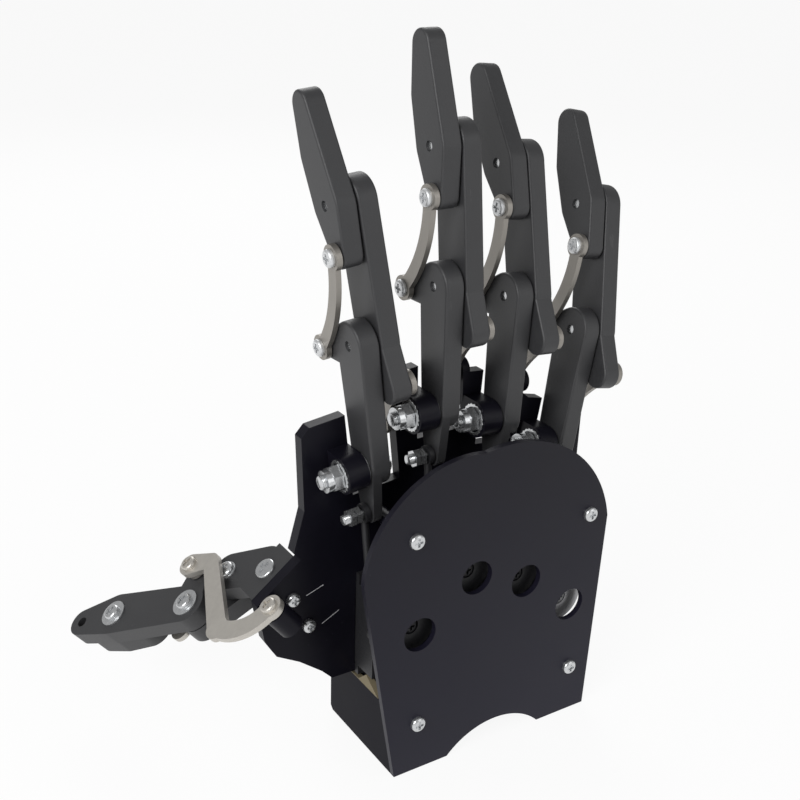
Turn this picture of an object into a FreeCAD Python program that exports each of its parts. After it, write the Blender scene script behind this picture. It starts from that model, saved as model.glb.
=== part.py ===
import FreeCAD, Part
import math
import os

Vec = FreeCAD.Vector

# Five-finger robot hand, millimetres. The back cover lies in the XZ plane,
# +Z runs to the fingertips, +Y is the palm side, and Z = 0 is the wrist end.
# The origin is the middle of the cover's lower edge, on its outer face.

doc = FreeCAD.newDocument("robot_hand")
sheet = doc.addObject("Spreadsheet::Sheet", "sizes")
sizes = {
    "coverThick": 1.5,
    "coverLowHalf": 29.3,
    "coverLeftShoulder": 38.6,
    "coverRightShoulder": 31.4,
    "coverShoulderHeight": 55.0,
    "coverHeight": 80.2,
    "coverTopX": -7.0,
    "notchHalf": 14.0,
    "notchDepth": 6.0,
    "coverHoleRadius": 4.3,
    "screwUpperHalf": 25.4,
    "screwUpperHeight": 62.9,
    "screwUpperDrop": 6.1,
    "screwLowerHalf": 23.2,
    "screwLowerHeight": 13.3,
    "coverPostRadius": 1.9,
    "coverBoreDeep": 9.0,
    "coverScrewLong": 7.0,
    "screwHeadRadius": 1.9,
    "screwHeadHigh": 1.2,
    "screwShankRadius": 1.0,
    "wallThick": 1.5,
    "wallDepth": 31.0,
    "wallCorner": 1.0,
    "wallHigh": 17.6,
    "wallPeakHigh": 20.8,
    "wallPeakDepth": 13.7,
    "wallBackHigh": 15.0,
    "wristHoleHalf": 20.0,
    "wristHoleLow": 5.0,
    "wristHoleHigh": 13.0,
    "wristHoleRadius": 1.6,
    "plateFace": 19.0,
    "plateThick": 3.0,
    "knuckleDepth": 14.0,
    "layerThick": 4.8,
    "layerGap": 0.3,
    "earThick": 5.2,
    "earRadius": 4.4,
    "slotLow": 9.0,
    "boltRadius": 1.5,
    "washerRadius": 3.9,
    "washerThick": 0.5,
    "nutRadius": 3.1,
    "nutThick": 4.2,
    "runClearance": 0.06,
    "phalanxLow": 29.06,
    "phalanxMid": 30.07,
    "tipLong": 20.6,
    "tipRadius": 3.2,
    "headRadius": 5.4,
    "proxRadius": 4.6,
    "midRadius": 5.0,
    "leverReach": 11.0,
    "leverRadius": 2.8,
    "pinRadius": 1.1,
    "earBack": 10.0,
    "earDrop": 2.5,
    "heelDrop": 10.5,
    "anchorOut": 8.0,
    "anchorUp": 5.0,
    "midHeelBack": 4.0,
    "midHeelDrop": 10.5,
    "linkThick": 1.3,
    "linkWidth": 3.2,
    "linkEndRadius": 2.9,
    "linkGap": 0.3,
    "linkBow": 2.6,
    "rodRadius": 0.9,
    "ballRadius": 1.7,
    "rodEyeRadius": 2.3,
    "rodEyeThick": 1.3,
    "rodNutRadius": 2.1,
    "rodNutThick": 1.3,
    "rodNutGap": 0.7,
    "leverThick": 2.2,
    "edgeRound": 0.6,
    "hornFace": 5.0,
    "hornThick": 1.6,
    "hornReach": 7.5,
    "hornStart": 105.0,
    "ballGap": 0.4,
    "hornHubRadius": 2.4,
    "hornEndRadius": 2.4,
    "hornRootRadius": 3.6,
    "hornGap": 0.3,
    "servoWide": 11.8,
    "servoLong": 22.8,
    "servoFace": 11.0,
    "servoDeep": 18.2,
    "lugLong": 2.6,
    "flangeThick": 1.4,
    "shaftInset": 5.9,
    "gearBossRadius": 5.2,
    "gearBossHigh": 1.2,
    "shaftHigh": 3.0,
    "shaftTipHigh": 4.2,
    "windowGap": 0.2,
    "thumbTilt": 38.5,
    "thumbX": -44.1,
    "thumbZ": 53.9,
    "thumbThick": 4.6,
    "bracketLow": 2.0,
    "bracketThick": 1.5,
    "footRadius": 3.0,
    "footLow": -5.0,
    "footArmWide": 5.0,
    "footArmLong": 8.0,
    "thumbEndRadius": 5.0,
    "thumbMiddleRadius": 5.6,
    "thumbTipRadius": 3.6,
    "thumbEarRadius": 3.0,
    "thumbTipHoleRadius": 1.3,
    "thumbBlockLong": 13.6,
    "thumbBlockReach": 7.0,
    "thumbWebHigh": 8.0,
    "thumbWebThick": 2.4,
    "thumbWasherRadius": 3.4,
    "pivotWasherRadius": 2.4,
    "thumbHeadRadius": 2.1,
    "anchorThick": 2.0,
    "anchorGap": 0.7,
    "capRadius": 2.0,
    "capHigh": 1.1,
    "midHeelRadius": 3.6,
    "midEndRadius": 5.6,
    "padRadius": 4.9,
    "padUp": 10.3,
    "padOut": 0.6,
    "lowerBow": -1.6,
    "pinInset": 0.6,
    "hornScrewRadius": 1.8,
    "hornScrewHigh": 1.2,
    "boltHeadRadius": 2.6,
    "boltHeadThick": 1.0,
    "boltEndLong": 1.0,
    "washerGap": 0.1,
}
for row, name in enumerate(sizes, 1):
    sheet.set("A%d" % row, name)
    sheet.set("B%d" % row, str(sizes[name]))
    sheet.setAlias("B%d" % row, name)
doc.recompute()


def size(name):
    return float(sheet.get(name))


# Each finger: lean across the palm, knuckle X and Z, and the bend of its three joints at rest.
fingers = {
    "index": (-6.8, -31.2, 76.2, (2.4, 5.6, 11.1)),
    "middle": (-1.5, -13.2, 86.7, (0.7, 3.9, 6.9)),
    "ring": (3.8, 4.6, 81.6, (3.0, 12.9, 14.8)),
    "little": (10.1, 22.2, 70.9, (2.3, 12.5, 13.3)),
}
servoShafts = {"index": (-23.4, 38.0), "middle": (-8.0, 48.5), "ring": (6.9, 43.3), "little": (21.5, 32.3)}
thumbServoShaft = (-6.2, 14.0)
nodes = []


def keep(name, shape, placement=FreeCAD.Placement()):
    node = doc.addObject("Part::Feature", name)
    node.Label = name
    node.Shape = shape
    node.Placement = placement.multiply(shape.Placement)
    nodes.append(node)
    return node


def turned(vector, degrees):
    """A (y, z) pair turned from +Z towards +Y."""
    c = math.cos(math.radians(degrees))
    s = math.sin(math.radians(degrees))
    return (vector[0] * c + vector[1] * s, vector[1] * c - vector[0] * s)


def added(a, b):
    return (a[0] + b[0], a[1] + b[1])


# Flat pieces are drawn in a local XY sheet and raised along its Z.
def disc(centre, radius, high, low=0.0):
    return Part.makeCylinder(radius, high, Vec(centre[0], centre[1], low))


def taperedBar(a, radiusA, b, radiusB, high, low=0.0):
    """Two round ends joined by their outer tangents."""
    run = math.hypot(b[0] - a[0], b[1] - a[1])
    heading = math.atan2(b[1] - a[1], b[0] - a[0])
    lean = math.acos((radiusA - radiusB) / run)
    def rim(centre, radius, angle):
        return Vec(centre[0] + radius * math.cos(angle), centre[1] + radius * math.sin(angle), low)
    leftA = rim(a, radiusA, heading + lean)
    leftB = rim(b, radiusB, heading + lean)
    rightA = rim(a, radiusA, heading - lean)
    rightB = rim(b, radiusB, heading - lean)
    edges = [
        Part.makeLine(leftA, leftB),
        Part.Arc(leftB, rim(b, radiusB, heading), rightB).toShape(),
        Part.makeLine(rightB, rightA),
        Part.Arc(rightA, rim(a, radiusA, heading + math.pi), leftA).toShape(),
    ]
    return Part.Face(Part.Wire(edges)).extrude(Vec(0, 0, high))


def chain(rounds, high, low=0.0):
    """A flat bar through a row of (centre, radius) rounds."""
    body = None
    for (a, radiusA), (b, radiusB) in zip(rounds, rounds[1:]):
        bar = taperedBar(a, radiusA, b, radiusB, high, low)
        body = bar if body is None else body.fuse(bar)
    return body.removeSplitter()


def bowedLink(a, b, bow, width, endRadius, high, low=0.0):
    """A flat strap on a circular arc between two round ends; bow is its rise to the left of a-b."""
    run = math.hypot(b[0] - a[0], b[1] - a[1])
    along = ((b[0] - a[0]) / run, (b[1] - a[1]) / run)
    left = (-along[1], along[0])
    radius = (run * run / 4 + bow * bow) / (2 * abs(bow))
    side = 1 if bow > 0 else -1
    middle = ((a[0] + b[0]) / 2, (a[1] + b[1]) / 2)
    centre = added(middle, (left[0] * (bow - side * radius), left[1] * (bow - side * radius)))
    def onArc(point, offset):
        reach = math.hypot(point[0] - centre[0], point[1] - centre[1])
        share = (radius + offset) / reach
        out = (centre[0] + (point[0] - centre[0]) * share, centre[1] + (point[1] - centre[1]) * share)
        return Vec(out[0], out[1], low)
    crown = added(middle, (left[0] * bow, left[1] * bow))
    outer = [onArc(p, width / 2) for p in (a, crown, b)]
    inner = [onArc(p, -width / 2) for p in (b, crown, a)]
    edges = [
        Part.Arc(*outer).toShape(),
        Part.makeLine(outer[2], inner[0]),
        Part.Arc(*inner).toShape(),
        Part.makeLine(inner[2], outer[0]),
    ]
    strap = Part.Face(Part.Wire(edges)).extrude(Vec(0, 0, high))
    for end in (a, b):
        strap = strap.fuse(disc(end, endRadius, high, low))
    return strap.removeSplitter()


def panHead(centre, radius, high, low):
    """A domed screw head with a cross recess."""
    head = disc(centre, radius, high, low)
    head = head.makeFillet(high * 0.6, [e for e in head.Edges if abs(e.BoundBox.ZMin - low - high) < 1e-6
                                        and e.BoundBox.ZLength < 1e-6 and e.Closed])
    arm = radius * 0.55
    slot = radius * 0.16
    depth = high * 0.45
    for longX, longY in ((arm, slot), (slot, arm)):
        head = head.cut(Part.makeBox(2 * longX, 2 * longY, high,
                                     Vec(centre[0] - longX, centre[1] - longY, low + high - depth)))
    return head


def hexPrism(centre, radius, high, low):
    turns = [math.radians(a) for a in range(30, 391, 60)]
    corners = [Vec(centre[0] + radius * math.cos(a), centre[1] + radius * math.sin(a), low) for a in turns]
    return Part.Face(Part.makePolygon(corners)).extrude(Vec(0, 0, high))


# Frames: a finger's local sheet has X = palm side (world Y), Y = up the finger, Z = across to +X.
def fingerPlacement(name):
    lean, x, z, bends = fingers[name]
    lean = math.radians(lean)
    up = Vec(math.sin(lean), 0, math.cos(lean))
    across = Vec(math.cos(lean), 0, -math.sin(lean))
    knuckle = Vec(x, size("knuckleDepth"), z)
    return FreeCAD.Placement(knuckle, FreeCAD.Rotation(Vec(0, 1, 0), up, across, "ZXY"))


def thumbPlacement():
    """Local X = palm side, Y = out and down along the tilted plane, Z = out of its upper face."""
    tilt = math.radians(size("thumbTilt"))
    out = Vec(-math.cos(tilt), 0, -math.sin(tilt))
    normal = Vec(-math.sin(tilt), 0, math.cos(tilt))
    corner = Vec(size("thumbX"), size("plateFace"), size("thumbZ"))
    return FreeCAD.Placement(corner, FreeCAD.Rotation(Vec(0, 1, 0), out, normal, "ZXY"))


def backFacing(x, y, z):
    """Local Z points out of the back of the hand, local X is world X and local Y is world Z."""
    return FreeCAD.Placement(Vec(x, y, z), FreeCAD.Rotation(Vec(1, 0, 0), Vec(0, 0, 1), Vec(0, -1, 0), "ZXY"))


def moved(shape, placement):
    copy = shape.copy()
    copy.Placement = placement.multiply(shape.Placement)
    return copy


def world(x, z, y=0.0):
    return Vec(x, y, z)


def polygonXZ(points, y, depth):
    corners = [world(x, z, y) for x, z in points]
    return Part.Face(Part.makePolygon(corners + corners[:1])).extrude(Vec(0, depth, 0))


def throughY(x, z, radius, low, high):
    return Part.makeCylinder(radius, high - low, Vec(x, low, z), Vec(0, 1, 0))


# Cover plate: straight foot with an arched cable notch, flared sides and a round head.
coverScrews = [
    (-size("screwUpperHalf"), size("screwUpperHeight")),
    (size("screwUpperHalf"), size("screwUpperHeight") - size("screwUpperDrop")),
    (-size("screwLowerHalf"), size("screwLowerHeight")),
    (size("screwLowerHalf"), size("screwLowerHeight")),
]


def coverPlate():
    low = size("coverLowHalf")
    left = -size("coverLeftShoulder")
    right = size("coverRightShoulder")
    shoulder = size("coverShoulderHeight")
    top = size("coverHeight")
    topX = size("coverTopX")
    notch = size("notchHalf")
    def quarter(x):
        """A point on the round head, between the shoulder at x and the top."""
        return world(topX + (x - topX) * 0.76, shoulder + (top - shoulder) * 0.67)
    edges = [
        Part.makeLine(world(-notch, 0), world(-low, 0)),
        Part.makeLine(world(-low, 0), world(left, shoulder)),
        Part.Arc(world(left, shoulder), quarter(left), world(topX, top)).toShape(),
        Part.Arc(world(topX, top), quarter(right), world(right, shoulder)).toShape(),
        Part.makeLine(world(right, shoulder), world(low, 0)),
        Part.makeLine(world(low, 0), world(notch, 0)),
        Part.Arc(world(notch, 0), world(0, size("notchDepth")), world(-notch, 0)).toShape(),
    ]
    plate = Part.Face(Part.Wire(edges)).extrude(Vec(0, size("coverThick"), 0))
    for name in servoShafts:
        x, z = servoShafts[name]
        plate = plate.cut(throughY(x, z, size("coverHoleRadius"), -1, size("coverThick") + 1))
    holeRadius = size("screwShankRadius") + size("runClearance")
    for x, z in coverScrews:
        plate = plate.cut(throughY(x, z, holeRadius, -1, size("coverThick") + 1))
    return plate


def screwSet(places, y, shankLong):
    """Pan-head screws driven in from the back of the hand."""
    solids = []
    for x, z in places:
        head = panHead((0, 0), size("screwHeadRadius"), size("screwHeadHigh"), 0)
        shank = disc((0, 0), size("screwShankRadius"), shankLong, -shankLong)
        solids.append(moved(head.fuse(shank), backFacing(x, y, z)))
    return Part.makeCompound(solids)


# Palm plate: one cut sheet with a slot for each finger, knuckle ears, link anchors and servo windows.
plateOutline = [
    (-27.8, 0), (-27.8, 18.9), (-35.7, 18.9), (-38.5, 21.8), (-44.5, 26.5), (-50.5, 30.0), (-53.5, 35.0),
    (-55.3, 44.9),
    (-44.1, 53.9), (-45.9, 56.0), (-43.2, 66.0), (-43.9, 84.0), (-41.9, 86.2), (-30.6, 87.8),
    (-19.5, 95.2), (-10.5, 96.2), (-0.5, 92.0), (8.0, 91.4), (19.0, 82.0), (28.0, 80.0),
    (37.0, 77.0), (36.8, 60.0), (33.0, 30.0), (30.4, 18.9), (27.8, 18.9), (27.8, 0),
]


def servoWindow(name):
    x, z = servoShafts[name]
    gap = size("windowGap")
    wide = size("servoWide") + 2 * gap
    low = z - (size("servoLong") - size("shaftInset")) - gap
    return Part.makeBox(wide, size("plateThick") + 2, size("servoLong") + 2 * gap,
                        Vec(x - wide / 2, size("plateFace") - 1, low))


def palmPlate():
    face = size("plateFace")
    thick = size("plateThick")
    plate = polygonXZ(plateOutline, face, thick)
    slotFar = size("layerThick") * 2 + size("layerGap") * 2 + size("linkThick") + size("anchorGap")
    earLow = -size("earThick") - size("washerThick")
    reach = face + thick - size("knuckleDepth")
    anchorAt = (size("anchorOut"), size("anchorUp"))
    slotStart = Vec(-5, -size("slotLow"), -size("washerThick"))
    for name in fingers:
        slot = Part.makeBox(40, 60, slotFar + size("washerThick"), slotStart)
        plate = plate.cut(moved(slot, fingerPlacement(name)))
    for name in fingers:
        radius = size("earRadius")
        ear = disc((0, 0), radius, size("earThick"), earLow)
        ear = ear.fuse(Part.makeBox(reach, 2 * radius, size("earThick"), Vec(0, -radius, earLow)))
        ear = ear.cut(disc((0, 0), size("boltRadius") + size("runClearance"), 20, -12))
        anchor = disc(anchorAt, size("linkEndRadius"), size("anchorThick"), slotFar)
        plate = plate.fuse(moved(ear, fingerPlacement(name)))
        plate = plate.fuse(moved(anchor, fingerPlacement(name)))
    for name in fingers:
        linkLow = 2 * size("layerThick") + size("layerGap")
        linkRoom = Part.makeBox(9, 12, size("linkThick") + 2 * size("layerGap"), Vec(4, 0, linkLow))
        pinHole = disc(anchorAt, size("pinRadius") + size("runClearance"), 5.0, linkLow)
        linkRoom = linkRoom.fuse(pinHole)
        plate = plate.cut(moved(linkRoom, fingerPlacement(name)))
    for name in servoShafts:
        plate = plate.cut(servoWindow(name))
    plate = plate.cut(thumbServoWindow())
    for x, z in coverScrews:
        post = throughY(x, z, size("coverPostRadius"), size("coverThick"), face)
        hole = throughY(x, z, size("screwShankRadius") + size("runClearance"), size("coverThick"),
                        size("coverBoreDeep"))
        plate = plate.fuse(post).cut(hole)
    footLow = size("footLow")
    boss = disc(bracketFoot, size("footRadius"), size("bracketLow") - size("layerGap") - footLow, footLow)
    arm = Part.makeBox(size("footArmLong"), size("footArmWide"), 4.0,
                       Vec(bracketFoot[0], bracketFoot[1] - size("footArmWide") / 2, footLow))
    foot = bore(boss.fuse(arm), bracketFoot, size("pinRadius"))
    plate = plate.fuse(moved(foot, thumbPlacement()))
    return plate.removeSplitter()


def thumbServoWindow():
    x, z = thumbServoShaft
    gap = size("windowGap")
    high = size("servoWide") + 2 * gap
    long = size("servoLong") + 2 * gap
    return Part.makeBox(long, size("plateThick") + 2, high,
                        Vec(x - size("shaftInset") - gap, size("plateFace") - 1, z - high / 2))


# Wrist box: a folded U of sheet that closes the wrist behind the cover.
def wristBox():
    half = size("coverLowHalf")
    wall = size("wallThick")
    deep = size("wallDepth")
    high = size("wallHigh")
    corner = size("wallCorner")
    peak = size("wallPeakDepth")
    outer = [(size("coverThick"), 0), (deep - corner, 0), (deep, corner), (deep, high), (peak + 3.5, high),
             (peak, size("wallPeakHigh")), (peak - 5.2, high), (size("coverThick"), size("wallBackHigh"))]
    inner = [(-1, -1), (deep - wall, -1), (deep - wall, high + 9), (-1, high + 9)]
    def prism(points, x0, x1):
        corners = [Vec(x0, y, z) for y, z in points]
        return Part.Face(Part.makePolygon(corners + corners[:1])).extrude(Vec(x1 - x0, 0, 0))
    box = prism(outer, -half, half).cut(prism(inner, -half + wall, half - wall))
    for x in (-size("wristHoleHalf"), size("wristHoleHalf")):
        for z in (size("wristHoleLow"), size("wristHoleHigh")):
            box = box.cut(throughY(x, z, size("wristHoleRadius"), deep - wall - 1, deep + 1))
    return box


# Micro servo: case, mounting flange and output shaft towards the back of the hand.
def servo(x, z, turn=0, lowLug=True):
    wide = size("servoWide")
    long = size("servoLong")
    inset = size("shaftInset")
    deep = size("servoDeep")
    lug = size("lugLong")
    case = Part.makeBox(wide, long, deep, Vec(-wide / 2, inset - long, -deep))
    lugLow = inset - long - (lug if lowLug else 0)
    flange = Part.makeBox(wide, inset + lug - lugLow, size("flangeThick"),
                          Vec(-wide / 2, lugLow, -(size("plateFace") - size("servoFace"))))
    boss = disc((0, 0), size("gearBossRadius"), size("gearBossHigh"))
    shaft = disc((0, 0), size("hornHubRadius"), size("shaftHigh"))
    tip = disc((0, 0), size("pinRadius"), size("shaftTipHigh"))
    body = case.fuse(flange).fuse(boss).fuse(shaft).fuse(tip)
    body = body.removeSplitter()
    place = backFacing(x, size("servoFace"), z)
    place = place.multiply(FreeCAD.Placement(Vec(), FreeCAD.Rotation(Vec(0, 0, 1), turn)))
    return moved(body, place)


def hornPin(name):
    x, z = servoShafts[name]
    start = math.radians(size("hornStart"))
    return (x - size("hornReach") * math.sin(start), z + size("hornReach") * math.cos(start))


def servoHorn(x, z, pinX, pinZ):
    back = size("hornFace")
    thick = size("hornThick")
    shaftTop = size("servoFace") - size("shaftHigh") - size("hornGap")
    arm = taperedBar((0, 0), size("hornRootRadius"), (pinX - x, pinZ - z), size("hornEndRadius"), thick,
                     -back - thick)
    hub = disc((0, 0), size("hornHubRadius"), shaftTop - back - thick, -shaftTop)
    socket = disc((0, 0), size("pinRadius") + size("runClearance"), shaftTop - back - thick, -shaftTop)
    screw = panHead((0, 0), size("hornScrewRadius"), size("hornScrewHigh"), -back)
    horn = arm.fuse(hub).cut(socket).fuse(screw)
    return moved(horn.removeSplitter(), backFacing(x, 0, z))


# Finger pieces, all drawn in the finger's own sheet.
def fingerPoints(name):
    bends = fingers[name][3]
    first, second, third = bends[0], bends[0] + bends[1], bends[0] + bends[1] + bends[2]
    points = {"knuckle": (0.0, 0.0)}
    points["lever"] = turned((0, -size("leverReach")), first)
    points["mid"] = turned((0, size("phalanxLow")), first)
    points["ear"] = added(points["mid"], turned((size("earBack"), -size("earDrop")), first))
    points["top"] = added(points["mid"], turned((0, size("phalanxMid")), second))
    points["midHeel"] = added(points["mid"], turned((-size("midHeelBack"), -size("midHeelDrop")), second))
    points["tip"] = added(points["top"], turned((0, size("tipLong")), third))
    points["pad"] = added(points["top"], turned((size("padOut"), size("padUp")), third))
    points["heel"] = added(points["top"], turned((0, -size("heelDrop")), third))
    points["anchor"] = (size("anchorOut"), size("anchorUp"))
    return points


def bore(solid, centre, radius):
    return solid.cut(disc(centre, radius + size("runClearance"), 60, -30))


def roundEdges(body, radius):
    """Round the outline of both flat faces."""
    low = body.BoundBox.ZMin
    high = body.BoundBox.ZMax
    def onFace(edge):
        box = edge.BoundBox
        return box.ZLength < 1e-6 and (abs(box.ZMin - low) < 1e-6 or abs(box.ZMax - high) < 1e-6)
    return body.makeFillet(radius, [edge for edge in body.Edges if onFace(edge)])


def proximal(name):
    p = fingerPoints(name)
    thick = size("layerThick")
    body = chain([(p["knuckle"], size("proxRadius")), (p["mid"], size("headRadius"))], thick)
    ear = taperedBar(p["mid"], size("headRadius"), p["ear"], size("linkEndRadius"), thick)
    lever = taperedBar(p["knuckle"], size("proxRadius"), p["lever"], size("leverRadius"), size("leverThick"))
    body = roundEdges(body.fuse(ear).removeSplitter(), size("edgeRound"))
    body = body.fuse(lever).removeSplitter()
    body = bore(body, p["knuckle"], size("boltRadius"))
    body = bore(body, p["mid"], size("pinRadius"))
    body = bore(body, p["ear"], size("pinRadius"))
    return bore(body, p["lever"], size("pinRadius"))


def middlePiece(name):
    p = fingerPoints(name)
    low = size("layerThick") + size("layerGap")
    thick = size("layerThick")
    body = chain([(p["top"], size("headRadius")), (p["mid"], size("midEndRadius"))], thick, low)
    heel = taperedBar(p["mid"], size("midRadius"), p["midHeel"], size("midHeelRadius"), thick, low)
    body = roundEdges(body.fuse(heel).removeSplitter(), size("edgeRound"))
    body = bore(body, p["mid"], size("pinRadius"))
    return bore(body, p["top"], size("pinRadius"))


def distal(name):
    p = fingerPoints(name)
    thick = size("layerThick")
    rounds = [(p["tip"], size("tipRadius")), (p["pad"], size("padRadius")), (p["top"], size("headRadius")),
              (p["heel"], size("linkEndRadius"))]
    body = roundEdges(chain(rounds, thick), size("edgeRound"))
    return bore(body, p["top"], size("pinRadius"))


def capScrews(body, centres, low, side):
    for centre in centres:
        head = panHead(centre, size("capRadius"), size("capHigh"), 0)
        if side < 0:
            head = head.mirror(Vec(0, 0, 0), Vec(0, 0, 1))
        body = body.fuse(head.translated(Vec(0, 0, low)))
    return body.removeSplitter()


def lowerLink(name):
    """From the palm plate's anchor to the middle piece's heel, on the far side."""
    p = fingerPoints(name)
    low = size("layerThick") * 2 + size("layerGap") * 2
    link = bowedLink(p["anchor"], p["midHeel"], size("lowerBow"), size("linkWidth"), size("linkEndRadius"),
                     size("linkThick"), low)
    pinLong = size("anchorGap") + size("anchorThick") - size("linkGap")
    pin = disc(p["anchor"], size("pinRadius"), pinLong, low + size("linkThick"))
    return link.fuse(pin).removeSplitter()


def upperLink(name):
    """From the proximal piece's ear to the distal piece's heel, on the near side."""
    p = fingerPoints(name)
    low = -size("linkGap") - size("linkThick")
    link = bowedLink(p["ear"], p["heel"], size("linkBow"), size("linkWidth"), size("linkEndRadius"),
                     size("linkThick"), low)
    pin = disc(p["ear"], size("pinRadius"), size("layerThick") - size("pinInset"), -size("linkGap"))
    link = link.fuse(pin)
    return capScrews(link, (p["ear"], p["heel"]), low, -1)


def fingerPins(name):
    """Middle pivot pin and the push-rod pin with its two nuts."""
    p = fingerPoints(name)
    radius = size("pinRadius")
    inset = size("pinInset")
    pivot = disc(p["mid"], radius, 2 * (size("layerThick") - inset) + size("layerGap"), inset)
    pin = disc(p["lever"], radius, 7.2, -5.2)
    pin = pin.fuse(Part.makeCone(0.35, radius, 1.4, Vec(p["lever"][0], p["lever"][1], -6.6)))
    nut = size("rodNutThick")
    eyeLow = -size("layerGap") - size("rodEyeThick")
    first = eyeLow - size("rodNutGap") - nut
    for low in (first, first - nut - 0.2):
        pin = pin.fuse(hexPrism(p["lever"], size("rodNutRadius"), nut, low))
    return Part.makeCompound([pivot, pin.removeSplitter()])


def tipPin(name):
    p = fingerPoints(name)
    inset = size("pinInset")
    return disc(p["top"], size("pinRadius"), 2 * (size("layerThick") - inset) + size("layerGap"), inset)


def pushRod(name):
    """Eye on the lever pin, straight shank and a ball end beside the servo horn's arm."""
    p = fingerPoints(name)
    place = fingerPlacement(name)
    eyeLow = -size("layerGap") - size("rodEyeThick")
    eye = moved(disc(p["lever"], size("rodEyeRadius"), size("rodEyeThick"), eyeLow), place)
    start = place.multVec(Vec(p["lever"][0], p["lever"][1], eyeLow + size("rodEyeThick") / 2))
    pinX, pinZ = hornPin(name)
    end = Vec(pinX, size("hornFace") + size("hornThick") + size("ballGap") + size("ballRadius"), pinZ)
    run = end.sub(start)
    shank = Part.makeCylinder(size("rodRadius"), run.Length, start, run)
    rod = eye.fuse(shank).fuse(Part.makeSphere(size("ballRadius"), end))
    pinBore = disc(p["lever"], size("pinRadius") + size("runClearance"), 20, -10)
    return rod.cut(moved(pinBore, place))


def knuckleBolts():
    """Bolt, lock nut and washer of each knuckle."""
    solids = []
    for name in fingers:
        outside = -size("earThick") - size("washerThick")
        boltLow = outside - size("nutThick") - size("boltEndLong")
        boltTop = size("layerThick") + size("layerGap") + 0.6
        bolt = disc((0, 0), size("boltRadius"), boltTop - boltLow, boltLow)
        nut = hexPrism((0, 0), size("nutRadius"), size("nutThick") * 0.62, outside - size("nutThick") * 0.62)
        collar = disc((0, 0), size("nutRadius") * 0.84, size("nutThick") * 0.38, outside - size("nutThick"))
        headLow = size("layerThick") + size("layerGap")
        head = disc((0, 0), size("boltHeadRadius"), size("boltHeadThick"), headLow)
        solids.append(moved(bolt.fuse(nut).fuse(collar).fuse(head).removeSplitter(), fingerPlacement(name)))
        washerHigh = size("washerThick") - size("washerGap")
        washer = disc((0, 0), size("washerRadius"), washerHigh, -size("washerThick"))
        washer = bore(washer, (0, 0), size("boltRadius"))
        solids.append(moved(washer, fingerPlacement(name)))
    return Part.makeCompound(solids)


# Thumb, drawn in its tilted plane.
thumbPivot = (16.9, 13.6)
thumbKnuckle = (20.3, 25.9)
thumbMiddle = (38.6, 41.0)
thumbTip = (46.2, 48.6)
bracketEar = (25.2, 18.9)
bracketFoot = (-7.2, 12.0)


def thumbBase():
    thick = size("thumbThick")
    edge = size("plateThick")
    block = Part.makeBox(size("thumbBlockReach"), size("thumbBlockLong"), thick, Vec(edge, 0.5, -thick))
    nose = chain([((8.5, 6.8), 5.4), (thumbPivot, size("thumbEndRadius"))], thick, -thick)
    web = Part.makeBox(size("thumbWebThick"), size("thumbBlockLong") - 0.6, size("thumbWebHigh"),
                       Vec(edge, 0.8, -thick - size("thumbWebHigh")))
    body = block.fuse(nose).fuse(web).removeSplitter()
    return bore(body, thumbPivot, size("pinRadius"))


def thumbProximal():
    thick = size("thumbThick")
    low = -2 * thick - size("layerGap")
    body = chain([(thumbPivot, size("thumbEndRadius")), (thumbKnuckle, size("thumbEndRadius"))], thick, low)
    body = bore(body, thumbPivot, size("pinRadius"))
    return bore(body, thumbKnuckle, size("pinRadius"))


def thumbDistal():
    thick = size("thumbThick")
    body = chain([(thumbKnuckle, size("thumbEndRadius")), (thumbMiddle, size("thumbMiddleRadius")),
                  (thumbTip, size("thumbTipRadius"))], thick, -thick)
    earRoot = size("thumbEndRadius") - 0.4
    ear = taperedBar(thumbKnuckle, earRoot, bracketEar, size("thumbEarRadius"), thick, -thick)
    body = body.fuse(ear).removeSplitter()
    body = body.cut(disc(thumbTip, size("thumbTipHoleRadius"), 3.0, -2.0))
    return bore(body, thumbKnuckle, size("pinRadius"))


def thumbPadPiece():
    """The lower layer of the thumb's outer piece."""
    thick = size("thumbThick")
    return chain([((33.0, 36.6), 4.6), (thumbMiddle, 5.4), ((43.5, 45.9), 4.0)], thick, -2 * thick)


def thumbBracket():
    """Z-shaped strap from the palm plate's boss to the outer piece's ear."""
    low = size("bracketLow")
    high = size("bracketThick")
    corner = (20.2, 14.6)
    bend = (1.2, 23.6)
    body = chain([(bracketEar, 2.9), (corner, 2.1), (bend, 2.6)], high, low)
    body = body.fuse(bowedLink(bracketFoot, bend, 2.6, 4.6, 2.9, high, low))
    for centre in (bracketEar, bracketFoot):
        body = body.fuse(panHead(centre, size("capRadius"), size("capHigh"), low + high))
    body = body.fuse(disc(bracketEar, 2.2, low - size("layerGap"), size("layerGap")))
    body = body.fuse(disc(bracketFoot, size("pinRadius"), 5.0, low - 5.0))
    return body.removeSplitter()


def thumbScrew(centre, bottom, washerRadius):
    head = panHead(centre, size("thumbHeadRadius"), size("capHigh"), 0.45)
    washer = disc(centre, washerRadius, 0.4, 0.05)
    shank = disc(centre, size("pinRadius"), 0.45 - bottom, bottom)
    return head.fuse(washer).fuse(shank).removeSplitter()


def thumbPivotScrews():
    bottom = -2 * size("thumbThick") - size("layerGap") + 0.4
    return Part.makeCompound([thumbScrew(thumbPivot, bottom, size("pivotWasherRadius")),
                              thumbScrew(thumbKnuckle, bottom, size("thumbWasherRadius"))])


def thumbPlateScrews():
    """Cap screws of the thumb base on the palm plate, and the flush screw in its top."""
    solids = [moved(panHead((0, 0), 1.7, 1.3, 0.05), backFacing(x, size("plateFace"), z))
              for x, z in ((-46.2, 44.2), (-42.2, 36.0))]
    solids.append(moved(panHead((7.0, 7.0), 2.6, 0.7, 0.05), thumbPlacement()))
    return Part.makeCompound(solids)


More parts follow.
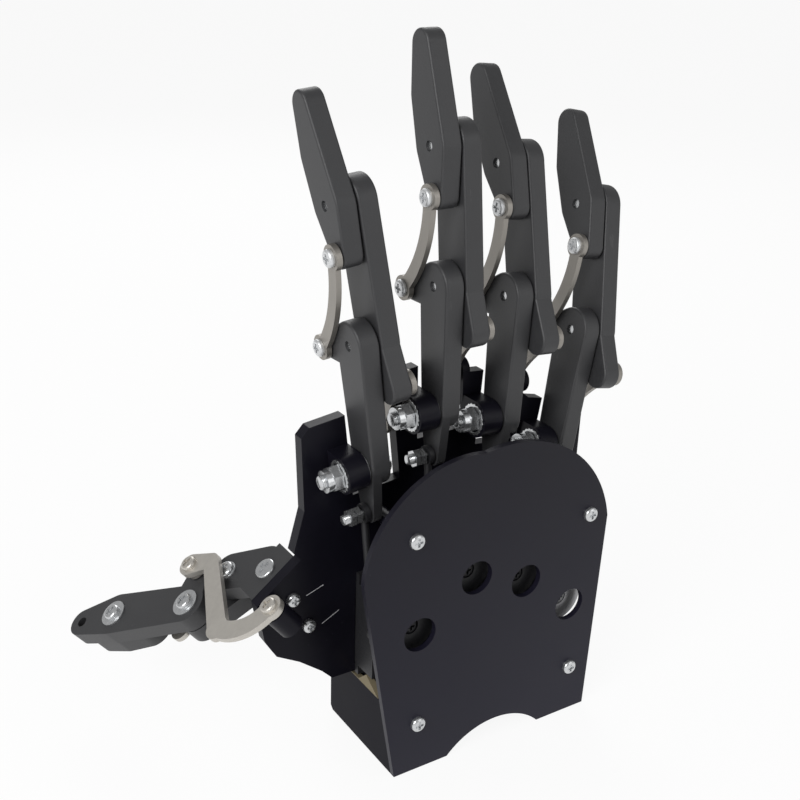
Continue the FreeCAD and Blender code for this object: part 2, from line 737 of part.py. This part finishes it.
def thumbStrap():
    """The curved strap under the outer piece."""
    low = -2 * size("thumbThick") - size("linkThick")
    return bowedLink((33.0, 37.0), (26.6, 32.4), 1.6, 3.2, 2.6, size("linkThick"), low)


keep("palm_plate", palmPlate())
keep("wrist_box", wristBox())
keep("cover_plate", coverPlate())
keep("cover_screws", screwSet(coverScrews, 0, size("coverScrewLong")))
keep("knuckle_bolts", knuckleBolts())
for name in servoShafts:
    shaftX, shaftZ = servoShafts[name]
    pinX, pinZ = hornPin(name)
    keep(name + "_servo", servo(shaftX, shaftZ, 0, name != "little"))
    keep(name + "_horn", servoHorn(shaftX, shaftZ, pinX, pinZ))
    keep(name + "_push_rod", pushRod(name))
keep("thumb_servo", servo(thumbServoShaft[0], thumbServoShaft[1], 90))
keep("thumb_horn", servoHorn(thumbServoShaft[0], thumbServoShaft[1],
                             thumbServoShaft[0] - size("hornReach"), thumbServoShaft[1]))
for name in fingers:
    place = fingerPlacement(name)
    keep(name + "_proximal", proximal(name), place)
    keep(name + "_middle", middlePiece(name), place)
    keep(name + "_distal", distal(name), place)
    keep(name + "_lower_link", lowerLink(name), place)
    keep(name + "_upper_link", upperLink(name), place)
    keep(name + "_pins", fingerPins(name), place)
    keep(name + "_tip_pin", tipPin(name), place)
keep("thumb_base", thumbBase(), thumbPlacement())
keep("thumb_base_screws", thumbPlateScrews())
keep("thumb_proximal", thumbProximal(), thumbPlacement())
keep("thumb_distal", thumbDistal(), thumbPlacement())
keep("thumb_pad", thumbPadPiece(), thumbPlacement())
keep("thumb_bracket", thumbBracket(), thumbPlacement())
keep("thumb_pivot_screws", thumbPivotScrews(), thumbPlacement())
keep("thumb_tip_screw", thumbScrew(thumbMiddle, 0.0, size("thumbWasherRadius")), thumbPlacement())
keep("thumb_strap", thumbStrap(), thumbPlacement())

doc.recompute()
for obj in doc.Objects:
    if "Invalid" in obj.State or "Error" in obj.State:
        raise RuntimeError("failed object: " + obj.Label)
for node in nodes:
    if node.Shape.isNull() or not node.Shape.isValid():
        raise RuntimeError("bad shape: " + node.Label)

os.makedirs("parts", exist_ok=True)
for node in nodes:
    node.Shape.exportStep("parts/%s.step" % node.Label)
    box = node.Shape.BoundBox
    print("%-22s solids %d volume %8.1f x %6.1f %6.1f y %6.1f %6.1f z %6.1f %6.1f" % (
        node.Label, len(node.Shape.Solids), node.Shape.Volume,
        box.XMin, box.XMax, box.YMin, box.YMax, box.ZMin, box.ZMax))
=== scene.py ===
import math

import bpy
from mathutils import Matrix, Vector


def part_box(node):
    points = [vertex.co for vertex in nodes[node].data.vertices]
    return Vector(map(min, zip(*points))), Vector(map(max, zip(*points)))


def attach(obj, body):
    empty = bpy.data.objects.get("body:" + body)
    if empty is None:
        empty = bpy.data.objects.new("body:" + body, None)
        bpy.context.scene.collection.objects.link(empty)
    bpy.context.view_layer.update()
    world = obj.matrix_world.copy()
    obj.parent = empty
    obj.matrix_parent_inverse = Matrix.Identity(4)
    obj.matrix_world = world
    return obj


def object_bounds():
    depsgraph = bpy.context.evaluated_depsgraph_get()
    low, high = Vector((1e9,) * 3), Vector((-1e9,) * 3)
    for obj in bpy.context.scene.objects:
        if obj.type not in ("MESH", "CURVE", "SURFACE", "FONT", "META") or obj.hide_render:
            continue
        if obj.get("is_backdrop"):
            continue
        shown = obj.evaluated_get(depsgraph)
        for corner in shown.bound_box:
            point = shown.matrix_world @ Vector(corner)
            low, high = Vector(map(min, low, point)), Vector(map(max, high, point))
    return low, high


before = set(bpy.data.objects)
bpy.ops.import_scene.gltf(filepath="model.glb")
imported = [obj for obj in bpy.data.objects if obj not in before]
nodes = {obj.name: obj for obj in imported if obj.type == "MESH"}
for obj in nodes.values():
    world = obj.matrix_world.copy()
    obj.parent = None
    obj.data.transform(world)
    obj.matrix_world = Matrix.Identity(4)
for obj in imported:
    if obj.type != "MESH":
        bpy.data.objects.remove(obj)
cadLow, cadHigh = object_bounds()
print("frame loaded:", len(nodes), "CAD nodes")

mm = 0.001
fingers = ("index", "middle", "ring", "little")

# lean across the palm in degrees, knuckle X and Z, first joint's bend at rest
knuckles = {
    "index": (-6.8, -31.2, 76.2, 2.4),
    "middle": (-1.5, -13.2, 86.7, 0.7),
    "ring": (3.8, 4.6, 81.6, 3.0),
    "little": (10.1, 22.2, 70.9, 2.3),
}
knuckleDepth = 14.0
leverReach = 11.0


class Level:
    def __init__(self, finish, socket):
        self.finish = finish
        self.socket = socket

    def math(self, operation, other, swapped=False):
        pair = [other, self] if swapped else [self, other]
        return self.finish.add("ShaderNodeMath", {"operation": operation}, dict(enumerate(pair)))

    def __add__(self, other):
        return self.math("ADD", other)

    def __radd__(self, other):
        return self.math("ADD", other)

    def __sub__(self, other):
        return self.math("SUBTRACT", other)

    def __rsub__(self, other):
        return self.math("SUBTRACT", other, True)

    def __mul__(self, other):
        return self.math("MULTIPLY", other)

    def __rmul__(self, other):
        return self.math("MULTIPLY", other)

    def __gt__(self, other):
        return self.math("GREATER_THAN", other)

    def __lt__(self, other):
        return self.math("LESS_THAN", other)

    def held(self):
        return self.finish.add("ShaderNodeClamp", {}, {0: self})


class Finish:
    def __init__(self, name):
        self.material = bpy.data.materials.new(name)
        self.material.use_nodes = True
        self.tree = self.material.node_tree
        self.shader = next(n for n in self.tree.nodes if n.type == "BSDF_PRINCIPLED")
        self.place = self.add("ShaderNodeTexCoord", {}, {}, "Object")

    def add(self, kind, settings, sockets, output=0):
        node = self.tree.nodes.new(kind)
        for name, value in settings.items():
            setattr(node, name, value)
        for name, value in sockets.items():
            if isinstance(value, Level):
                self.tree.links.new(value.socket, node.inputs[name])
            else:
                node.inputs[name].default_value = value
        return Level(self, node.outputs[output])

    def feed(self, name, value):
        if isinstance(value, Level):
            self.tree.links.new(value.socket, self.shader.inputs[name])
        else:
            self.shader.inputs[name].default_value = value

    def stretched(self, x, y, z):
        return self.add("ShaderNodeMapping", {}, {"Vector": self.place, "Scale": (x, y, z)})

    def noise(self, scale, detail=4.0, rough=0.55, place=None):
        return self.add("ShaderNodeTexNoise", {}, {"Vector": place or self.place, "Scale": scale,
                                                   "Detail": detail, "Roughness": rough})

    def cells(self, scale):
        return self.add("ShaderNodeTexVoronoi", {}, {"Vector": self.place, "Scale": scale})

    def mixed(self, factor, first, second):
        return self.add("ShaderNodeMix", {"data_type": "RGBA"}, {0: factor, 6: first, 7: second}, 2)

    def bumped(self, height, strength, distance):
        return self.add("ShaderNodeBump", {}, {"Height": height, "Strength": strength,
                                               "Distance": distance})

    def axis(self, which):
        return self.add("ShaderNodeSeparateXYZ", {}, {0: self.place}, which)


def opaque(colour):
    return (colour[0], colour[1], colour[2], 1.0)


# black sheet: tones of the palm plate, the cover and the wrist wall, and the grain they share
blackSheet = {"dark": (0.0035, 0.0033, 0.0058), "light": (0.0085, 0.0080, 0.0135),
              "rough": 0.34, "shine": 0.12}
# painted light: the cover's tone is painted lighter towards its bottom, over the given height
coverSheet = {"dark": (0.0055, 0.0050, 0.0085), "light": (0.0095, 0.0088, 0.0200),
              "rough": 0.42, "shine": 0.22, "fadesOver": 0.085}
wristSheet = {"dark": (0.0035, 0.0033, 0.0058), "light": (0.0075, 0.0070, 0.0120),
              "rough": 0.40, "shine": 0.04}
# the grain's fade share sets how strongly the cover's painted light shows
sheetGrain = {"cloudScale": 60.0, "fineScale": 3200.0, "fadeShare": 0.8, "cloudShare": 0.3,
              "speckScale": 420.0, "speckSize": 0.07, "patchScale": 90.0, "patchFrom": 0.58,
              "speckStrength": 0.25, "speckTone": (0.06, 0.06, 0.07), "roughCloud": 0.16,
              "roughFine": 0.08, "roughDrop": 0.12, "bump": 0.10, "bumpDepth": 0.0002}
# painted light: the wrist wall is painted khaki above the given height, a lit band along its top edge
wallEdgeLight = {"khaki": (0.20, 0.17, 0.11), "above": 0.0174}

# two thin painted highlights on the palm plate, where its edges catch the light, each from a start to an
# end in X and Z, in metres
edgeHighlights = {"upper": ((-0.0427, 0.0441), (-0.0382, 0.0457)),
         "lower": ((-0.0386, 0.0352), (-0.0340, 0.0376)),
         "half": 0.00009, "tone": (0.55, 0.55, 0.56)}


# mask of one thin painted highlight line on the palm plate
def edgeHighlightMask(finish, start, end):
    run = math.hypot(end[0] - start[0], end[1] - start[1])
    alongX = (end[0] - start[0]) / run
    alongZ = (end[1] - start[1]) / run
    x = finish.axis(0) - start[0]
    z = finish.axis(2) - start[1]
    along = x * alongX + z * alongZ
    across = z * alongX - x * alongZ
    return (along > 0.0) * (along < run) * (across > -edgeHighlights["half"]) * (across < edgeHighlights["half"])


def blackSheetFinish(name, tones, fadesOver=None, paintedEdgeLight=False, edgeHighlighted=False):
    finish = Finish(name)
    cloudy = finish.noise(sheetGrain["cloudScale"], detail=5.0)
    fine = finish.noise(sheetGrain["fineScale"], detail=2.0)
    blend = cloudy
    # painted light: lighter towards the bottom of the sheet
    if fadesOver:
        height = (fadesOver - finish.axis(2)) * (sheetGrain["fadeShare"] / fadesOver)
        blend = (height + cloudy * sheetGrain["cloudShare"]).held()
    tone = finish.mixed(blend, opaque(tones["dark"]), opaque(tones["light"]))
    specks = finish.cells(sheetGrain["speckScale"]) < sheetGrain["speckSize"]
    patches = finish.noise(sheetGrain["patchScale"]) > sheetGrain["patchFrom"]
    dusty = specks * patches * sheetGrain["speckStrength"]
    tone = finish.mixed(dusty, tone, opaque(sheetGrain["speckTone"]))
    # painted light along the wall's top edge
    if paintedEdgeLight:
        tone = finish.mixed(finish.axis(2) > wallEdgeLight["above"], tone, opaque(wallEdgeLight["khaki"]))
    # painted highlights: two thin bright lines along edges of the palm plate
    if edgeHighlighted:
        for start, end in (edgeHighlights["upper"], edgeHighlights["lower"]):
            tone = finish.mixed(edgeHighlightMask(finish, start, end), tone, opaque(edgeHighlights["tone"]))
    finish.feed("Base Color", tone)
    rough = cloudy * sheetGrain["roughCloud"] + fine * sheetGrain["roughFine"]
    finish.feed("Roughness", (rough + (tones["rough"] - sheetGrain["roughDrop"])).held())
    finish.feed("Normal", finish.bumped(fine, sheetGrain["bump"], sheetGrain["bumpDepth"]))
    finish.feed("Specular IOR Level", tones["shine"])
    return finish.material


# painted finger pieces: fine grain with lengthwise scuffs
fingerPaint = {"dark": (0.0220, 0.0222, 0.0240), "light": (0.0370, 0.0373, 0.0395), "rough": 0.46,
               "shine": 0.5, "cloudScale": 85.0, "grainScale": 2600.0, "scuffScale": 340.0,
               "scuffStretch": 0.18, "scuffFrom": 0.66, "scuffStrength": 0.22,
               "scuffTone": (0.085, 0.085, 0.086), "toneCloud": 0.7, "toneGrain": 0.3,
               "roughCloud": 0.12, "roughGrain": 0.10, "roughDrop": 0.10,
               "bump": 0.16, "bumpDepth": 0.0002}


def fingerFinish():
    paint = fingerPaint
    finish = Finish("fingerPaint")
    cloudy = finish.noise(paint["cloudScale"], detail=4.0)
    grain = finish.noise(paint["grainScale"], detail=3.0)
    blend = (cloudy * paint["toneCloud"] + grain * paint["toneGrain"]).held()
    tone = finish.mixed(blend, opaque(paint["dark"]), opaque(paint["light"]))
    lengthwise = finish.stretched(1.0, 1.0, paint["scuffStretch"])
    scuffed = finish.noise(paint["scuffScale"], detail=6.0, rough=0.7, place=lengthwise)
    scuffs = (scuffed > paint["scuffFrom"]) * paint["scuffStrength"]
    tone = finish.mixed(scuffs, tone, opaque(paint["scuffTone"]))
    finish.feed("Base Color", tone)
    rough = cloudy * paint["roughCloud"] + grain * paint["roughGrain"]
    finish.feed("Roughness", (rough + paint["rough"] - paint["roughDrop"]).held())
    finish.feed("Normal", finish.bumped(grain, paint["bump"], paint["bumpDepth"]))
    finish.feed("Specular IOR Level", paint["shine"])
    return finish.material


# bare metals with drawn lines; a link's cap screws stand beyond its face and are brighter
nickel = {"dark": (0.24, 0.225, 0.205), "light": (0.36, 0.34, 0.31), "rough": 0.42,
          "metallic": 0.75, "lines": 900.0}
polished = {"dark": (0.44, 0.42, 0.385), "light": (0.64, 0.61, 0.56), "rough": 0.36,
            "metallic": 0.75, "lines": 900.0}
zinc = {"dark": (0.40, 0.41, 0.42), "light": (0.80, 0.81, 0.82), "rough": 0.24,
        "metallic": 0.9, "lines": 1500.0}
hornAlloy = {"dark": (0.28, 0.28, 0.29), "light": (0.50, 0.50, 0.51), "rough": 0.38,
             "metallic": 0.8, "lines": 1100.0}
drawnMetal = {"cloudScale": 140.0, "stretch": 0.05, "toneCloud": 0.5, "toneDrawn": 0.5,
              "roughDrawn": 0.18, "roughCloud": 0.10, "roughDrop": 0.14,
              "bump": 0.10, "bumpDepth": 0.0001}
screwHead = {"tone": (0.66, 0.67, 0.68), "beyond": -0.00165}


# how far a point stands across a finger's plane, in metres
def acrossFinger(finish, finger):
    lean, knuckleX, knuckleZ, bend = knuckles[finger]
    lean = math.radians(lean)
    x = finish.axis(0) - knuckleX * mm
    z = finish.axis(2) - knuckleZ * mm
    return x * math.cos(lean) - z * math.sin(lean)


def metalFinish(name, tones, finger=None):
    finish = Finish(name)
    cloudy = finish.noise(drawnMetal["cloudScale"], detail=4.0)
    lengthwise = finish.stretched(1.0, 1.0, drawnMetal["stretch"])
    drawn = finish.noise(tones["lines"], detail=3.0, rough=0.6, place=lengthwise)
    blend = (cloudy * drawnMetal["toneCloud"] + drawn * drawnMetal["toneDrawn"]).held()
    tone = finish.mixed(blend, opaque(tones["dark"]), opaque(tones["light"]))
    if finger:
        head = acrossFinger(finish, finger) < screwHead["beyond"]
        tone = finish.mixed(head, tone, opaque(screwHead["tone"]))
    finish.feed("Base Color", tone)
    finish.feed("Metallic", tones["metallic"])
    rough = drawn * drawnMetal["roughDrawn"] + cloudy * drawnMetal["roughCloud"]
    finish.feed("Roughness", (rough + tones["rough"] - drawnMetal["roughDrop"]).held())
    finish.feed("Normal", finish.bumped(drawn, drawnMetal["bump"], drawnMetal["bumpDepth"]))
    return finish.material


# moulded servo case with a sparkle
servoCase = {"dark": (0.008, 0.008, 0.010), "light": (0.016, 0.016, 0.018), "rough": 0.55,
             "cloudScale": 50.0, "sparkScale": 1900.0, "roughSpark": 0.14, "roughDrop": 0.07,
             "bump": 0.25, "bumpDepth": 0.0002}


def plasticFinish(name, tones):
    finish = Finish(name)
    spark = finish.noise(tones["sparkScale"], detail=3.0)
    cloudy = finish.noise(tones["cloudScale"], detail=3.0)
    finish.feed("Base Color", finish.mixed(cloudy, opaque(tones["dark"]), opaque(tones["light"])))
    rough = spark * tones["roughSpark"] + tones["rough"] - tones["roughDrop"]
    finish.feed("Roughness", rough.held())
    finish.feed("Normal", finish.bumped(spark, tones["bump"], tones["bumpDepth"]))
    return finish.material


finishes = {
    "black": blackSheetFinish("blackSheet", blackSheet, edgeHighlighted=True),
    "cover": blackSheetFinish("coverSheet", coverSheet, fadesOver=coverSheet["fadesOver"]),
    "wrist": blackSheetFinish("wristSheet", wristSheet, paintedEdgeLight=True),
    "finger": fingerFinish(),
    "bracket": metalFinish("polishedBracket", polished),
    "zinc": metalFinish("zincScrew", zinc),
    "servo": plasticFinish("servoCase", servoCase),
    "horn": metalFinish("hornAlloy", hornAlloy),
}
for finger in fingers:
    finishes[finger + "_link"] = metalFinish(finger + "Link", nickel, finger)
print("finishes made:", len(finishes))


def finishFor(node):
    if node == "cover_plate":
        return "cover"
    if node == "wrist_box":
        return "wrist"
    if node == "palm_plate":
        return "black"
    if "screw" in node or "bolts" in node or node.endswith("pins") or node.endswith("pin"):
        return "zinc"
    if node.endswith("servo") or node.endswith("rod"):
        return "servo"
    if node.endswith("horn"):
        return "horn" if node in ("little_horn", "thumb_horn") else "servo"
    if node in ("thumb_bracket", "thumb_strap"):
        return "bracket"
    if "link" in node:
        return node.split("_")[0] + "_link"
    return "finger"


for name, node in nodes.items():
    node.data.materials.clear()
    node.data.materials.append(finishes[finishFor(name)])
print("CAD nodes finished")


def clearChoice():
    bpy.ops.object.select_all(action="DESELECT")


# a place in a finger's own frame: x to the palm side, y up the finger, z across it
def fingerFrame(name, x, y, z):
    lean, knuckleX, knuckleZ, bend = knuckles[name]
    lean = math.radians(lean)
    side = Vector((0, 1, 0))
    up = Vector((math.sin(lean), 0, math.cos(lean)))
    across = Vector((math.cos(lean), 0, -math.sin(lean)))
    start = Vector((knuckleX, knuckleDepth, knuckleZ)) + side * x + up * y + across * z
    turn = Matrix((side, up, across)).transposed().to_4x4()
    return Matrix.Translation(start * mm) @ turn


smoothUnder = 32  # degrees


# put a finished piece in its place, with that place in its mesh, and hang it on its body
def settle(piece, place, material, body):
    piece.matrix_world = place
    bpy.context.view_layer.objects.active = piece
    piece.select_set(True)
    bpy.ops.object.transform_apply(location=True, rotation=True, scale=True)
    bpy.ops.object.mode_set(mode="EDIT")
    bpy.ops.mesh.select_all(action="SELECT")
    bpy.ops.mesh.normals_make_consistent(inside=False)
    bpy.ops.object.mode_set(mode="OBJECT")
    bpy.ops.object.shade_smooth_by_angle(angle=math.radians(smoothUnder))
    piece.data.materials.clear()
    piece.data.materials.append(finishes[material])
    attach(piece, body)


# threaded ends of the knuckle bolts and of the rod pins: a rim drawn in and out again, turn by turn
thread = {"pitch": 0.34, "depth": 0.16, "sides": 28, "endShare": 0.72,
          "knuckleRadius": 1.62, "knuckleTurns": 3, "knuckleFrom": -9.75,
          "rodRadius": 1.2, "rodTurns": 4, "rodFrom": -5.15}


def threadEnd(name, radius, turns):
    clearChoice()
    bpy.ops.mesh.primitive_circle_add(vertices=thread["sides"], radius=radius * mm, fill_type="NGON")
    piece = bpy.context.object
    piece.name = name
    bpy.ops.object.mode_set(mode="EDIT")
    bpy.ops.mesh.select_all(action="SELECT")
    drawn = (radius - thread["depth"]) / radius
    half = thread["pitch"] / 2 * mm
    for turn in range(turns):
        for factor in (drawn, 1 / drawn):
            bpy.ops.mesh.extrude_region_move(TRANSFORM_OT_translate={"value": (0, 0, -half)})
            bpy.ops.transform.resize(value=(factor, factor, 1))
    bpy.ops.mesh.extrude_region_move(TRANSFORM_OT_translate={"value": (0, 0, -half)})
    bpy.ops.transform.resize(value=(thread["endShare"], thread["endShare"], 1))
    bpy.ops.object.mode_set(mode="OBJECT")
    return piece


for name in fingers:
    piece = threadEnd(name + "_bolt_thread", thread["knuckleRadius"], thread["knuckleTurns"])
    settle(piece, fingerFrame(name, 0, 0, thread["knuckleFrom"]), "zinc", "palm")
    bend = math.radians(knuckles[name][3])
    leverX = -leverReach * math.sin(bend)
    leverY = -leverReach * math.cos(bend)
    piece = threadEnd(name + "_rod_thread", thread["rodRadius"], thread["rodTurns"])
    place = fingerFrame(name, leverX, leverY, thread["rodFrom"])
    settle(piece, place, "zinc", name + "_proximal")
print("threads made")


# toothed washer under each knuckle nut
toothed = {"inner": 3.0, "outer": 3.9, "thick": 0.35, "teeth": 20, "notch": 0.93, "at": -5.72}
softEdge = {"ring": 0.07, "lid": 0.16, "segments": 2}


def softenEdges(piece, width):
    edge = piece.modifiers.new("edge", "BEVEL")
    edge.width = width * mm
    edge.segments = softEdge["segments"]
    edge.limit_method = "ANGLE"
    bpy.ops.object.modifier_apply(modifier="edge")


def flatRing(name, inner, outer, thick, sides, notched):
    clearChoice()
    bpy.ops.mesh.primitive_circle_add(vertices=sides, radius=outer * mm, fill_type="NGON")
    piece = bpy.context.object
    piece.name = name
    bpy.ops.object.mode_set(mode="EDIT")
    bpy.ops.mesh.select_all(action="SELECT")
    bpy.ops.mesh.inset(thickness=(outer - inner) * mm * math.cos(math.pi / sides), depth=0)
    bpy.ops.mesh.delete(type="ONLY_FACE")
    if notched:
        bpy.ops.object.mode_set(mode="OBJECT")
        rim = [v for v in piece.data.vertices if v.co.length > (inner + outer) / 2 * mm]
        rim.sort(key=lambda v: math.atan2(v.co.y, v.co.x))
        for order, vertex in enumerate(rim):
            vertex.co *= 1.0 if order % 2 else toothed["notch"]
        bpy.ops.object.mode_set(mode="EDIT")
    bpy.ops.mesh.select_all(action="SELECT")
    bpy.ops.mesh.extrude_region_move(TRANSFORM_OT_translate={"value": (0, 0, -thick * mm)})
    bpy.ops.object.mode_set(mode="OBJECT")
    softenEdges(piece, softEdge["ring"])
    return piece


for name in fingers:
    piece = flatRing(name + "_toothed_washer", toothed["inner"], toothed["outer"], toothed["thick"],
                     toothed["teeth"] * 2, True)
    settle(piece, fingerFrame(name, 0, 0, toothed["at"]), "zinc", "palm")
print("washers made")


# round horn plates behind the cover's four holes: three black, the little finger's in bare metal
hornPlate = {"inner": 2.0, "outer": 6.7, "thick": 0.9, "sides": 56, "behind": 3.95, "shaftBelow": 8.5}

for name in fingers:
    piece = flatRing(name + "_horn_plate", hornPlate["inner"], hornPlate["outer"], hornPlate["thick"],
                     hornPlate["sides"], False)
    low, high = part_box(name + "_servo")
    shaftZ = high[2] - hornPlate["shaftBelow"] * mm
    place = Matrix.Translation(((low[0] + high[0]) / 2, hornPlate["behind"] * mm, shaftZ))
    place = place @ Matrix.Rotation(math.radians(90), 4, "X")
    if name == "little":
        settle(piece, place, "horn", name + "_horn")
    else:
        settle(piece, place, "servo", name + "_horn")
print("horn plates made")


# servo backs on the palm side: a stepped lid with rounded corners and four sunk screws
lid = {"proud": 0.15, "deep": 3.2, "round": 0.9, "roundSegments": 4, "step": 1.1, "sink": 0.3,
       "flange": 2.6}
lidScrewHead = {"radius": 0.85, "sides": 24, "high": 0.22, "rimWide": 0.14, "rimHigh": 0.10,
                "recessInset": 0.34, "recessDeep": 0.2, "fromCorner": 1.9}
nearlyFlat = 1e-5
facingOut = 0.99


def servoLid(name, low, high):
    middle = [(low[i] + high[i]) / 2 for i in range(3)]
    long = high[0] - low[0], high[2] - low[2]
    clearChoice()
    bpy.ops.mesh.primitive_cube_add(size=1.0)
    piece = bpy.context.object
    piece.name = name
    proud = lid["proud"] * mm
    piece.scale = (long[0] + 2 * proud, lid["deep"] * mm, long[1] + 2 * proud)
    piece.location = (middle[0], high[1] - lid["deep"] * mm / 2 + proud, middle[2])
    bpy.ops.object.transform_apply(location=True, rotation=True, scale=True)
    top = max(v.co.y for v in piece.data.vertices)
    bpy.ops.object.mode_set(mode="EDIT")
    bpy.ops.mesh.select_mode(type="EDGE")
    bpy.ops.mesh.select_all(action="DESELECT")
    bpy.ops.object.mode_set(mode="OBJECT")
    for edge in piece.data.edges:
        a, b = (piece.data.vertices[i].co for i in edge.vertices)
        edge.select = abs(a.y - b.y) > nearlyFlat
    bpy.ops.object.mode_set(mode="EDIT")
    bpy.ops.mesh.bevel(offset=lid["round"] * mm, segments=lid["roundSegments"])
    bpy.ops.mesh.select_mode(type="FACE")
    bpy.ops.mesh.select_all(action="DESELECT")
    bpy.ops.object.mode_set(mode="OBJECT")
    for face in piece.data.polygons:
        face.select = face.normal.y > facingOut and abs(face.center.y - top) < nearlyFlat
    bpy.ops.object.mode_set(mode="EDIT")
    bpy.ops.mesh.inset(thickness=lid["step"] * mm, depth=0)
    bpy.ops.mesh.extrude_region_move(TRANSFORM_OT_translate={"value": (0, -lid["sink"] * mm, 0)})
    bpy.ops.object.mode_set(mode="OBJECT")
    softenEdges(piece, softEdge["lid"])
    return piece


def lidScrew(name, x, y, z):
    head = lidScrewHead
    clearChoice()
    bpy.ops.mesh.primitive_circle_add(vertices=head["sides"], radius=head["radius"] * mm, fill_type="NGON")
    piece = bpy.context.object
    piece.name = name
    bpy.ops.object.mode_set(mode="EDIT")
    bpy.ops.mesh.select_all(action="SELECT")
    bpy.ops.mesh.extrude_region_move(TRANSFORM_OT_translate={"value": (0, 0, head["high"] * mm)})
    bpy.ops.mesh.inset(thickness=head["rimWide"] * mm, depth=head["rimHigh"] * mm)
    bpy.ops.mesh.inset(thickness=head["recessInset"] * mm, depth=0)
    bpy.ops.mesh.extrude_region_move(TRANSFORM_OT_translate={"value": (0, 0, -head["recessDeep"] * mm)})
    bpy.ops.object.mode_set(mode="OBJECT")
    turn = Matrix.Rotation(math.radians(-90), 4, "X")
    settle(piece, Matrix.Translation((x, y, z)) @ turn, "zinc", "palm")


# the servo's box without the flange, which reaches past the case at its ends
def caseBox(name):
    low, high = (list(corner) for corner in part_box(name + "_servo"))
    along = 0 if name == "thumb" else 2
    flange = lid["flange"] * mm
    high[along] -= flange
    if name != "little":  # its servo has no lower lug
        low[along] += flange
    return low, high


for name in fingers + ("thumb",):
    low, high = caseBox(name)
    piece = servoLid(name + "_servo_lid", low, high)
    settle(piece, Matrix.Identity(4), "servo", "palm")
    inward = lidScrewHead["fromCorner"] * mm
    screwY = high[1] - (lid["sink"] - lid["proud"]) * mm
    count = 0
    for x in (low[0] + inward, high[0] - inward):
        for z in (low[2] + inward, high[2] - inward):
            count += 1
            lidScrew(name + "_lid_screw_%d" % count, x, screwY, z)
print("servo lids made")


# floor, light and camera
studio = {"floorTone": (0.86, 0.86, 0.86), "floorSize": 40.0, "floorBelow": 0.0002, "floorRough": 0.9,
          "floorGlow": 0.91, "worldLight": 0.42, "aim": (-0.015, 0.015, 0.08)}
lights = {
    "keyLight": {"power": 6.0, "size": 0.5, "place": (-0.75, -0.30, 0.55)},
    "fillLight": {"power": 1.4, "size": 0.6, "place": (0.45, -0.75, 0.45)},
    "rimLight": {"power": 2.4, "size": 0.5, "place": (0.25, 0.70, 0.60)},
}
view = {"azimuth": -32.91, "elevation": 21.84, "roll": 1.78, "focal": 51.207, "sensor": 36.0,
        "nearest": 0.01, "position": (-149.3, -183.0, 184.8)}

clearChoice()
floorZ = min(0.0, cadLow.z) - studio["floorBelow"]
bpy.ops.mesh.primitive_plane_add(size=studio["floorSize"], location=(0, 0, floorZ))
floor = bpy.context.object
floor.name = "floor"
floorFinish = Finish("floorFinish")
floorFinish.feed("Base Color", opaque(studio["floorTone"]))
floorFinish.feed("Roughness", studio["floorRough"])
floor.data.materials.append(floorFinish.material)
floor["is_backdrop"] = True

# the floor shows as near-white to the camera and to glossy metal, and keeps a soft shadow
glow = floorFinish.add("ShaderNodeEmission", {}, {"Color": (1, 1, 1, 1), "Strength": 1.0})
cameraRay = floorFinish.add("ShaderNodeLightPath", {}, {}, "Is Camera Ray")
glossyRay = floorFinish.add("ShaderNodeLightPath", {}, {}, "Is Glossy Ray")
share = ((cameraRay + glossyRay) * studio["floorGlow"]).held()
plain = Level(floorFinish, floorFinish.shader.outputs[0])
blend = floorFinish.add("ShaderNodeMixShader", {}, {0: share, 1: plain, 2: glow})
output = next(n for n in floorFinish.tree.nodes if n.type == "OUTPUT_MATERIAL")
floorFinish.tree.links.new(blend.socket, output.inputs[0])


def softLight(name, power, size, place):
    lamp = bpy.data.lights.new(name, "AREA")
    lamp.energy = power
    lamp.size = size
    holder = bpy.data.objects.new(name, lamp)
    bpy.context.scene.collection.objects.link(holder)
    holder.location = place
    holder.rotation_mode = "QUATERNION"
    holder.rotation_quaternion = (Vector(studio["aim"]) - Vector(place)).to_track_quat("-Z", "Y")


for name, light in lights.items():
    softLight(name, light["power"], light["size"], light["place"])

# white to the camera, softer for the light that falls on the hand
world = bpy.data.worlds.new("studioAir")
bpy.context.scene.world = world
world.use_nodes = True
air = world.node_tree
for node in list(air.nodes):
    air.nodes.remove(node)
worldOut = air.nodes.new("ShaderNodeOutputWorld")
worldMix = air.nodes.new("ShaderNodeMixShader")
worldPath = air.nodes.new("ShaderNodeLightPath")
air.links.new(worldPath.outputs["Is Camera Ray"], worldMix.inputs[0])
for index, strength in ((1, studio["worldLight"]), (2, 1.0)):
    glowing = air.nodes.new("ShaderNodeBackground")
    glowing.inputs[0].default_value = (1, 1, 1, 1)
    glowing.inputs[1].default_value = strength
    air.links.new(glowing.outputs[0], worldMix.inputs[index])
air.links.new(worldMix.outputs[0], worldOut.inputs[0])

azimuth = math.radians(view["azimuth"])
elevation = math.radians(view["elevation"])
roll = math.radians(view["roll"])
level = math.cos(elevation)
back = Vector((math.sin(azimuth) * level, -math.cos(azimuth) * level, math.sin(elevation)))
right = Vector((math.cos(azimuth), math.sin(azimuth), 0))
up = back.cross(right)
camRight = right * math.cos(roll) + up * math.sin(roll)
camUp = up * math.cos(roll) - right * math.sin(roll)
lens = bpy.data.cameras.new("photoCamera")
lens.lens = view["focal"]
lens.sensor_width = view["sensor"]
lens.clip_start = view["nearest"]
camera = bpy.data.objects.new("photoCamera", lens)
bpy.context.scene.collection.objects.link(camera)
turn = Matrix((camRight, camUp, back)).transposed().to_4x4()
camera.matrix_world = Matrix.Translation(Vector(view["position"]) * mm) @ turn
bpy.context.scene.camera = camera
bpy.context.scene.view_settings.view_transform = "Standard"
print("light and camera set")

low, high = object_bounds()
